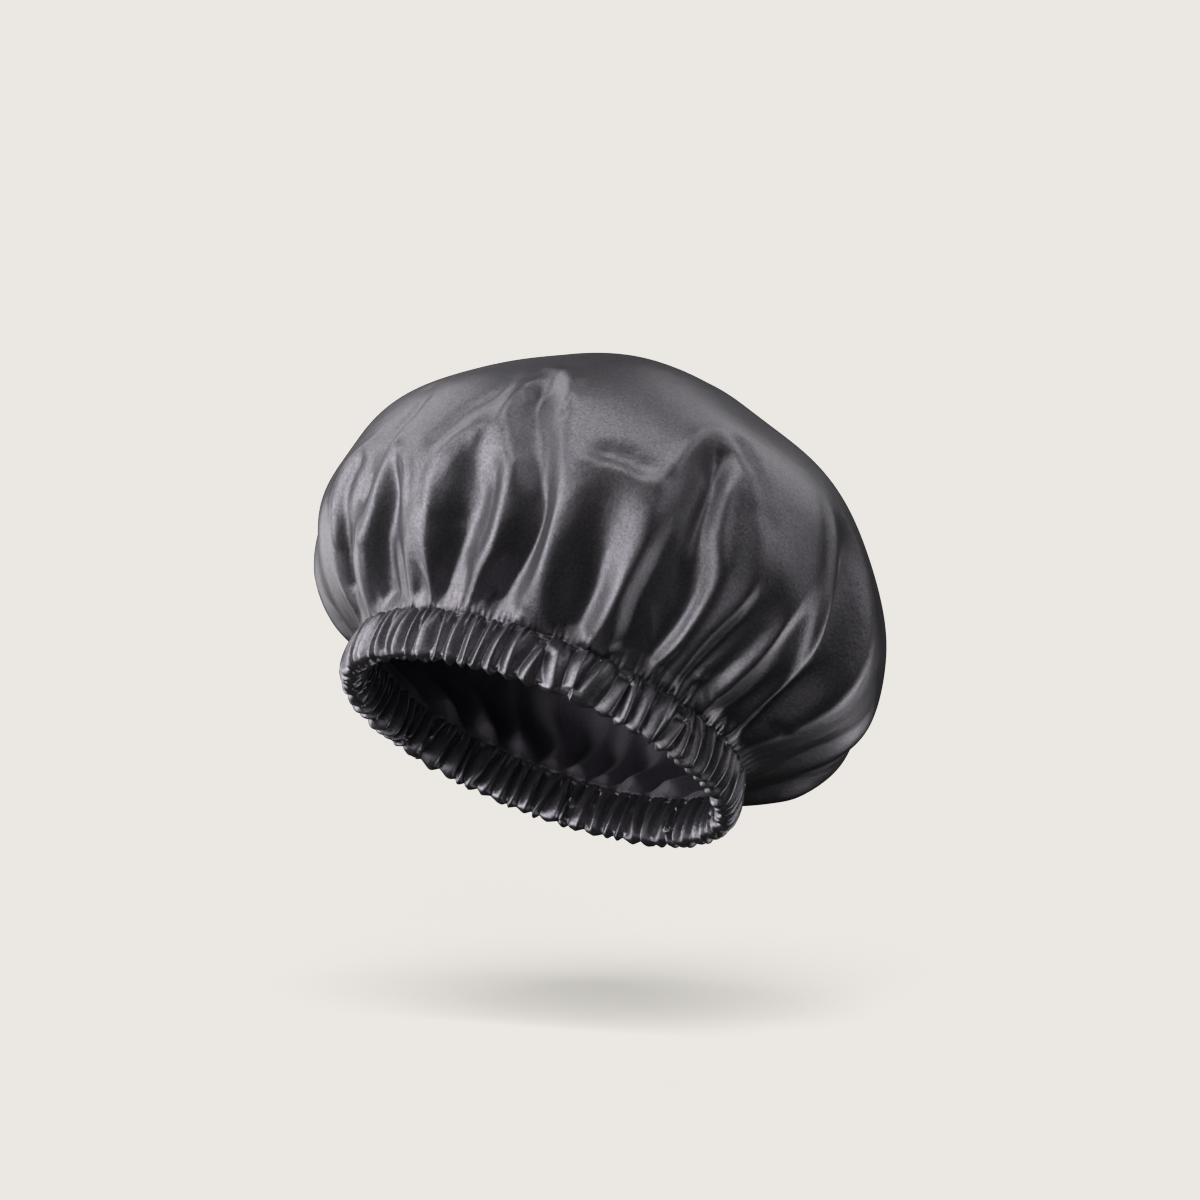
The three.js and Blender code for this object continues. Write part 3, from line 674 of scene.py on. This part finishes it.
# Shares of the way down the band, and a pleat's depth in its hollow and height on its crest there
DOWNS = (0, 0.12, 0.27, 0.42, 0.5, 0.58, 0.73, 0.88, 1)
HOLLOW = (0.5, 0.9, 1, 0.9, 0.6, 0.85, 1, 0.9, 0.5)
CREST = (-0.1, 0, 0, -0.05, -0.2, -0.05, 0, 0, -0.1)
# How uneven the pleats are: spread of their widths, slant and sway in degrees, and the ranges of
# depth and sharpness of a hollow, and of rise, sharpness and place of a crest
WIDTH_SPREAD = 0.17
SLANT = 0.8
SWAY, SWAY_WAVES = 0.55, 4
HOLLOW_DEPTHS = (0.85, 1.15)
HOLLOW_SHARPNESS = (0.7, 1.5)
CREST_RISES = (-0.12, 0.12)
CREST_SHARPNESS = (0, 0.35)
CREST_PLACES = (0.46, 0.62)
# Short creases that split a pleat: first and last point of the path, how often, depth and place
FORKS = [
    (0, 3, 0.8, 0.5, 0.62), (3, 6, 0.4, 0.25, 0.62),
    (6, 9, 0.8, 0.6, 0.66), (5, 9, 0.85, 0.7, 0.2),
]
# Least width of a pleat that forks, in degrees; its step from crease to crest, as a share of that;
# how deep the crease may be; how sharp both are; and how deep the crest is, as a share
FORK_WIDTH = 3.6
FORK_STEP = 0.12
FORK_CUTS = (0.6, 1)
FORK_SHARPNESS = (1.2, 0.2)
FORK_CREST_CUT = 0.3
# How far a line takes to melt, as a share of the way down, and the least angle between two lines
PLEAT_MELT = 0.16
PLEAT_SPACING = 0.3
# Height of the pleats, its share at the strip's edges, what is added within them and how far in
# that takes, and how much the pleats are raised
PLEAT_HEIGHT = 3.9 * MM
EDGE_SHARE, INNER_SHARE = 0.45, 0.55
EDGE_REACH = 0.15
PLEAT_LEVEL = 0.35
BAND_PUCKER_HEIGHT = 0.35 * MM
BAND_PUCKER_REACH = 0.06
PLEAT_SEED, BAND_PUCKER_SEED = 5, 8
# The elastic with its lap, which the valleys stop at and lie against
ELASTIC_HALF = 1.5 * MM
ELASTIC_FOOT = 2.2 * MM
ELASTIC_TOP = 17.2 * MM
ELASTIC_GAP = 0.3 * MM


def band_lines(rng):
    """Creases and hollows of the pleats: (sharpness, [(share down the band, angle, height)])."""
    count = sizes().pleat_count
    widths = np.exp(rng.normal(0, WIDTH_SPREAD, count))
    widths *= 360 / widths.sum()
    starts = np.cumsum(widths) - widths
    swing = rng.normal(0, SWAY, (count, SWAY_WAVES))
    waves = np.arange(1, SWAY_WAVES + 1)
    length = len(DOWNS)
    lines = []
    for k in range(count):

        def path(share, heights, start=0, end=length):
            at = starts[k] + share * widths[k]
            points = []
            for down, height in zip(DOWNS[start:end], heights[start:end]):
                slant = SLANT * math.cos(math.pi * down)
                bend = swing[k] @ np.sin(waves * math.pi * down)
                points.append((down, at + slant + bend, height))
            return points

        deep = rng.uniform(*HOLLOW_DEPTHS)
        lines.append((rng.uniform(*HOLLOW_SHARPNESS), path(0, [-deep * v for v in HOLLOW])))
        rise = rng.uniform(*CREST_RISES)
        sharp = rng.uniform(*CREST_SHARPNESS)
        lines.append((sharp, path(rng.uniform(*CREST_PLACES), [rise + v for v in CREST])))
        if widths[k] < FORK_WIDTH:
            continue
        for start, end, chance, depth, first in FORKS:
            at = rng.uniform(first, first + FORK_STEP)
            cut = rng.uniform(*FORK_CUTS) * depth
            if rng.uniform(0, 1) > chance:
                continue
            valley, crest = FORK_SHARPNESS
            lines.append((valley, path(at, [rise - cut] * length, start, end)))
            crest_level = [rise - FORK_CREST_CUT * cut] * length
            lines.append((crest, path(at + FORK_STEP, crest_level, start, end)))
    return lines


def band_points():
    """Grid of the band's strip, with its rows' shares of the way down and its columns' angles."""
    s = sizes()
    degrees = np.arange(BAND_COLUMNS) / BAND_COLUMNS * 360
    down = np.linspace(0, 1, BAND_ROWS)
    lines = band_lines(np.random.default_rng(PLEAT_SEED))
    field, _ = lined_field(lines, down, degrees, PLEAT_MELT, PLEAT_SPACING, in_order=False)
    knots = np.linspace(0, 1, len(BAND_SECTION))
    out = along(knots, [p[0] for p in BAND_SECTION], down) * MM
    up = along(knots, [p[1] for p in BAND_SECTION], down) * MM
    angle = np.radians(degrees)
    a, b = s.opening_half_length, s.opening_half_width
    base = oval(a, b, angle[None, :], out[:, None], up[:, None])
    edge = smooth_step(down, 0, EDGE_REACH) * smooth_step(1 - down, 0, EDGE_REACH)
    size = (EDGE_SHARE + INNER_SHARE * edge) * PLEAT_HEIGHT
    tuck = np.exp(-((np.minimum(down, 1 - down) / BAND_PUCKER_REACH) ** 2))
    tucks = BAND_PUCKER_HEIGHT * tuck[:, None] * puckers(degrees, BAND_PUCKER_SEED)
    height = size[:, None] * (field + PLEAT_LEVEL) + tucks
    beside = np.maximum(np.abs(out) - ELASTIC_HALF, 0)
    above = np.maximum(np.maximum(ELASTIC_FOOT - up, up - ELASTIC_TOP), 0)
    height = np.maximum(height, ELASTIC_GAP - np.hypot(beside, above)[:, None])
    return base - grid_normals(base) * height[..., None], down, degrees


# Materials


def node(tree, kind, inputs=None, **settings):
    """Adds a shader node with its settings, and with its inputs set or linked."""
    made = tree.nodes.new("ShaderNode" + kind)
    for key, value in settings.items():
        setattr(made, key, value)
    for key, value in (inputs or {}).items():
        if isinstance(value, bpy.types.NodeSocket):
            tree.links.new(value, made.inputs[key])
        else:
            made.inputs[key].default_value = value
    return made


def new_material(name):
    """An empty material, and its node tree."""
    material = bpy.data.materials.new(name)
    material.use_nodes = True
    material.node_tree.nodes.clear()
    return material, material.node_tree


def noise(tree, place, scale, detail, roughness):
    """Cloudy values from 0 to 1."""
    inputs = {"Vector": place, "Scale": scale, "Detail": detail, "Roughness": roughness}
    return node(tree, "TexNoise", inputs).outputs["Fac"]


def tinted(tree, code, share, low, high):
    """A colour that drifts between two tints of itself, given as shares of its channels."""
    colour = linear(code)
    inputs = {
        "Factor": share,
        "A": [c * k for c, k in zip(colour, low)],
        "B": [c * k for c, k in zip(colour, high)],
    }
    return node(tree, "Mix", inputs, data_type="RGBA").outputs["Result"]


def shaded(tree, colour, value, low, high, dark, light):
    """A colour made darker where a value is low and lighter where it is high."""
    level = node(tree, "MapRange", {"Value": value, 1: low, 2: high, 3: dark, 4: light})
    inputs = {0: colour, "Scale": level.outputs["Result"]}
    return node(tree, "VectorMath", inputs, operation="SCALE").outputs["Vector"]


def bumped(tree, height, strength, distance, **over):
    """Normals of a relief, over another relief if one is given."""
    inputs = {"Height": height, "Strength": strength, "Distance": distance, **over}
    return node(tree, "Bump", inputs).outputs["Normal"]


def shader(tree, inputs):
    """Sets the surface of a material."""
    made = node(tree, "BsdfPrincipled", inputs)
    node(tree, "OutputMaterial", {"Surface": made.outputs["BSDF"]})


def woven_satin(name, code, roughness, metallic=0.8):
    """Polyester satin, woven with long floats: a broad soft gloss and a fine uneven weave."""
    material, tree = new_material(name)
    place = node(tree, "TexCoord").outputs["Object"]
    tangent = node(tree, "Tangent", direction_type="UV_MAP", uv_map="cloth")
    # Colour drifting at random between a darker neutral tint and a lighter mauve one
    drift = noise(tree, place, 55, 3, 0.6)
    tint = tinted(tree, code, drift, (0.90, 0.93, 0.97, 1), (1.13, 1.06, 1.06, 1))
    # Painted glints: random specks made lighter or darker in the base colour, standing for single floats
    # that catch the light
    painted_glint_colour = shaded(tree, tint, noise(tree, place, 900, 2, 0.6), 0.3, 0.7, 0.72, 1.28)
    # Grain of the weave, and slight slackness of the cloth that breaks up the gloss
    grain = bumped(tree, noise(tree, place, 700, 3, 0.7), 0.35, 0.0004)
    slack = bumped(tree, noise(tree, place, 120, 2, 0.5), 0.25, 0.001, Normal=grain)
    # The base colour carries the painted glints
    inputs = {"Base Color": painted_glint_colour, "Metallic": metallic, "Roughness": roughness}
    inputs |= {"Anisotropic": 0.4, "Tangent": tangent.outputs["Tangent"], "Normal": slack}
    shader(tree, inputs)
    return material


def spun_yarn(name, code, strands, unevenness, roughness):
    """Matt spun polyester, its surface broken up by strands that lie side by side, and its colour by painted
    light on their tops and painted shade between them.
    """
    material, tree = new_material(name)
    place = node(tree, "TexCoord").outputs["Object"]
    # Relief of strand tops and the gaps between them, which also sets painted light on the tops and painted
    # shade in the gaps
    inputs = {"Vector": place, "Scale": strands, "Distortion": unevenness, "Detail": 2}
    strand_relief_and_shade = node(tree, "TexWave", inputs, bands_direction="DIAGONAL").outputs["Fac"]
    # Places that took up more dye or less
    tint = tinted(tree, code, noise(tree, place, 140, 2, 0.5), [0.8] * 4, [1.25] * 4)
    inputs = {
        # Painted light and shade: the colour is lighter on the strand tops and darker in the gaps between
        # them
        "Base Color": shaded(tree, tint, strand_relief_and_shade, 0, 1, 0.7, 1.35),
        "Roughness": roughness,
        "Sheen Weight": 0.3,
        "Normal": bumped(tree, strand_relief_and_shade, 0.5, 0.0002),
    }
    shader(tree, inputs)
    return material


def dress(thing, material):
    """Gives an object one material."""
    thing.data.materials.clear()
    thing.data.materials.append(material)


# Operators, one for each piece or group

STITCHES = ("seam_needle_thread", "seam_bobbin_thread", "elastic_lap_stitch", "casing_join_stitch")


class BONNET_OT_crown(bpy.types.Operator):
    """Makes the outer crown, a gathered disc of satin"""

    bl_idname = "bonnet.crown"
    bl_label = "Outer crown"

    def execute(self, context):
        s = sizes()
        points, uv, top = gathered_disc(CROWN_OFFSET, CROWN_SEED, s.fold_share)
        crown = grid_object("crown_cloth", points, uv, top)
        dress(crown, woven_satin("charcoal_satin", colours().satin, 0.39))
        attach(crown, "root")
        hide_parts("outer_crown")
        return {"FINISHED"}


class BONNET_OT_lining(bpy.types.Operator):
    """Makes the crown's lining, a second gathered disc inside the first"""

    bl_idname = "bonnet.lining"
    bl_label = "Crown lining"

    def execute(self, context):
        s = sizes()
        offset = CROWN_OFFSET - s.layer_gap
        points, uv, top = gathered_disc(offset, LINING_SEED, LINING_FOLD_SHARE)
        lining = grid_object("lining_cloth", points, uv, top, inward=True)
        dress(lining, woven_satin("lining_satin", colours().lining, 0.45, 0.35))
        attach(lining, "root")
        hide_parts("crown_lining")
        return {"FINISHED"}


class BONNET_OT_band(bpy.types.Operator):
    """Makes the ruffled band, one strip folded round the elastic"""

    bl_idname = "bonnet.band"
    bl_label = "Band"

    def execute(self, context):
        s = sizes()
        points, down, degrees = band_points()
        around = np.broadcast_to(degrees[None, :] / 360 * s.strip_length, points.shape[:2])
        across = np.broadcast_to(down[:, None] * s.strip_width, points.shape[:2])
        band = grid_object("band_cloth", points, np.stack([around, across], -1), inward=True)
        dress(band, woven_satin("band_satin", colours().band, 0.33))
        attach(band, "root")
        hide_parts("band_casing")
        return {"FINISHED"}


class BONNET_OT_hidden(bpy.types.Operator):
    """Finishes the elastic and the stitches, which the frame already holds"""

    bl_idname = "bonnet.hidden"
    bl_label = "Elastic and stitches"

    def execute(self, context):
        elastic = spun_yarn("knitted_elastic", colours().elastic, 220, 0.6, 0.75)
        thread = spun_yarn("polyester_thread", colours().thread, 520, 2, 0.6)
        dress(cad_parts["elastic_band"], elastic)
        for name in STITCHES:
            dress(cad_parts[name], thread)
        return {"FINISHED"}


# Stage: the camera and lamps stand where the photographer's stood

VIEW_FROM_BELOW = math.radians(23.6)
VIEW_ROLL = math.radians(22.2)
VIEW_DISTANCE = 1.3
VIEW_TARGET = Vector((0.0015, 0, 0.0802))
VIEW_LENS = 86.6
# Name, direction by the picture's right, up and toward the eye, and watts
LAMPS = [
    ("key", -0.85, 0.6, 0.2, 6.5),
    ("left_side", -0.95, 0.12, 0.3, 6),
    ("left_low", -1, -0.35, 0.25, 9),
    ("left_edge", -0.85, -0.15, -0.55, 6),
    ("left_front", -0.55, 0.65, 0.65, 5.5),
    ("face", -0.65, 0.05, 0.75, 3.5),
    ("above", 0, 1, 0.1, 5.5),
    ("above_left_edge", -0.6, 0.7, -0.5, 4.5),
    ("above_right_edge", 0.6, 0.7, -0.5, 3.4),
    ("right_side", 0.85, 0.6, 0.2, 2.4),
    ("right_low", 1, -0.45, -0.25, 5),
    ("below", 0.75, -0.75, -0.15, 2),
    ("front", 0, 0, 1, 1),
]
INNER_LAMP = ("inner_lamp", -0.75, -0.3, 0.65, 44)
LAMP_SIZE = 0.9
LAMP_DISTANCE = 1.35
ROOM_LIGHT = 0.02
# The floor: its place under and behind the bonnet, its tilt, and its lamps, of which the second
# throws no shadow
FLOOR_DROP = 0.345
FLOOR_BACK = 1.32
FLOOR_TILT = math.radians(-5.6)
FLOOR_WATTS = 252
FLOOR_FILL_SHARE = 1.3
FLOOR_LAMP_SIZE = 1.6
FLOOR_LAMP_DISTANCE = 8
# Its level part from front to back, the curve behind that, the top of its wall, its half width
FLOOR_FRONT, FLOOR_LEVEL = -1.9, 4.5
FLOOR_CURVE = 1
FLOOR_CURVE_STEPS = 24
FLOOR_WALL = 6
FLOOR_HALF_WIDTH = 6


def view_axes():
    """The picture's right, up and forward directions."""
    forward = Vector((0, math.cos(VIEW_FROM_BELOW), math.sin(VIEW_FROM_BELOW)))
    level = Vector((1, 0, 0))
    rise = Vector((0, -math.sin(VIEW_FROM_BELOW), math.cos(VIEW_FROM_BELOW)))
    right = level * math.cos(VIEW_ROLL) + rise * math.sin(VIEW_ROLL)
    up = -level * math.sin(VIEW_ROLL) + rise * math.cos(VIEW_ROLL)
    return right, up, forward


def turned(right, up, back):
    """A turn that lays x, y and z along the picture's right, up and back."""
    return Matrix((right, up, back)).transposed().to_4x4()


def add_camera():
    """The camera, where the photographer's stood."""
    right, up, forward = view_axes()
    data = bpy.data.cameras.new("camera")
    data.lens = VIEW_LENS
    data.sensor_width = 36
    data.clip_start = 0.05
    camera = add_object("camera", data)
    place = Matrix.Translation(VIEW_TARGET - forward * VIEW_DISTANCE)
    camera.matrix_world = place @ turned(right, up, -forward)
    bpy.context.scene.camera = camera


def add_lamp(name, side, height, toward, watts, lights=(), size=LAMP_SIZE, distance=LAMP_DISTANCE):
    """A square soft lamp, in a direction by the picture's right, up and toward the eye.

    With lights given, it lights only those objects.
    """
    right, up, forward = view_axes()
    data = bpy.data.lights.new(name, "AREA")
    data.shape = "SQUARE"
    data.size = size
    data.energy = watts
    lamp = add_object(name, data)
    aim = (right * side + up * height - forward * toward).normalized()
    place = VIEW_TARGET + aim * distance
    lamp.matrix_world = Matrix.Translation(place) @ aim.to_track_quat("Z", "Y").to_matrix().to_4x4()
    if lights:
        group = bpy.data.collections.new(name + "_lights")
        for thing in lights:
            group.objects.link(thing)
        lamp.light_linking.receiver_collection = group
    return lamp


def add_floor():
    """A studio sweep: a floor that curves up far behind the bonnet."""
    right, up, forward = view_axes()
    normal = up * math.cos(FLOOR_TILT) - forward * math.sin(FLOOR_TILT)
    ahead = normal.cross(right)
    centre = VIEW_TARGET - up * FLOOR_DROP + forward * FLOOR_BACK
    edge = [(FLOOR_FRONT, 0)]
    for t in np.linspace(0, math.pi / 2, FLOOR_CURVE_STEPS + 1):
        edge.append((FLOOR_LEVEL + FLOOR_CURVE * math.sin(t), FLOOR_CURVE * (1 - math.cos(t))))
    edge.append((FLOOR_LEVEL + FLOOR_CURVE, FLOOR_WALL))
    verts = []
    for x in (-FLOOR_HALF_WIDTH, FLOOR_HALF_WIDTH):
        verts += [tuple(centre + right * x + ahead * y + normal * z) for y, z in edge]
    n = len(edge)
    faces = [(k, n + k, n + k + 1, k + 1) for k in range(n - 1)]
    mesh = bpy.data.meshes.new("floor")
    mesh.from_pydata(verts, [], faces)
    floor = add_object("floor", mesh)
    material, tree = new_material("pale_floor")
    # Matt paint, and clear from underneath so that the floor hides nothing
    side = node(tree, "NewGeometry").outputs["Backfacing"]
    matt = node(tree, "BsdfDiffuse", {"Color": linear(colours().floor)}).outputs["BSDF"]
    clear = node(tree, "BsdfTransparent").outputs["BSDF"]
    mix = node(tree, "MixShader", {0: side, 1: matt, 2: clear})
    node(tree, "OutputMaterial", {"Surface": mix.outputs["Shader"]})
    dress(floor, material)
    floor.is_shadow_catcher = True
    floor.visible_diffuse = False
    floor.visible_glossy = False
    return floor


def add_world():
    """A pale backdrop for the camera, and a faint even light for everything else."""
    world = bpy.data.worlds.new("studio")
    world.use_nodes = True
    tree = world.node_tree
    tree.nodes.clear()
    pale = node(tree, "Background", {"Color": linear(colours().floor), "Strength": 1}).outputs[0]
    light = node(tree, "Background", {"Color": (1, 1, 1, 1), "Strength": ROOM_LIGHT}).outputs[0]
    camera_ray = node(tree, "LightPath").outputs["Is Camera Ray"]
    mix = node(tree, "MixShader", {0: camera_ray, 1: light, 2: pale})
    node(tree, "OutputWorld", {"Surface": mix.outputs["Shader"]})
    bpy.context.scene.world = world


class BONNET_OT_stage(bpy.types.Operator):
    """Sets the camera, the lamps and the pale floor"""

    bl_idname = "bonnet.stage"
    bl_label = "Stage"

    def execute(self, context):
        pieces = [thing for thing in context.scene.objects if thing.type == "MESH"]
        add_camera()
        add_world()
        floor = add_floor()
        for name, side, height, toward, watts in LAMPS:
            add_lamp(name, side, height, toward, watts, pieces)
        inside = [thing for thing in pieces if thing.name == "lining_cloth"]
        add_lamp(*INNER_LAMP, inside)
        aim = (0, FLOOR_DROP, FLOOR_BACK)
        rest = ([floor], FLOOR_LAMP_SIZE, FLOOR_LAMP_DISTANCE)
        add_lamp("floor_lamp", *aim, FLOOR_WATTS, *rest)
        fill = add_lamp("floor_fill", *aim, FLOOR_FILL_SHARE * FLOOR_WATTS, *rest)
        fill.data.use_shadow = False
        context.scene.view_settings.view_transform = "Standard"
        return {"FINISHED"}


class BONNET_PT_panel(bpy.types.Panel):
    """Buttons for the pieces and the stage"""

    bl_idname = "BONNET_PT_panel"
    bl_label = "Hair bonnet"
    bl_space_type = "VIEW_3D"
    bl_region_type = "UI"
    bl_category = "Bonnet"

    def draw(self, context):
        for operator in PIECES:
            self.layout.operator(operator.bl_idname)


PIECES = [BONNET_OT_crown, BONNET_OT_lining, BONNET_OT_band, BONNET_OT_hidden, BONNET_OT_stage]
CLASSES = [BonnetSizes, BonnetColours, *PIECES, BONNET_PT_panel]


def register():
    for item in CLASSES:
        bpy.utils.register_class(item)
    bpy.types.Scene.bonnet_sizes = bpy.props.PointerProperty(type=BonnetSizes)
    bpy.types.Scene.bonnet_colours = bpy.props.PointerProperty(type=BonnetColours)


def unregister():
    del bpy.types.Scene.bonnet_colours
    del bpy.types.Scene.bonnet_sizes
    for item in reversed(CLASSES):
        bpy.utils.unregister_class(item)


def main():
    register()
    bpy.ops.bonnet.crown()
    bpy.ops.bonnet.lining()
    bpy.ops.bonnet.band()
    bpy.ops.bonnet.hidden()
    bpy.ops.bonnet.stage()


if __name__ == "__main__":
    main()
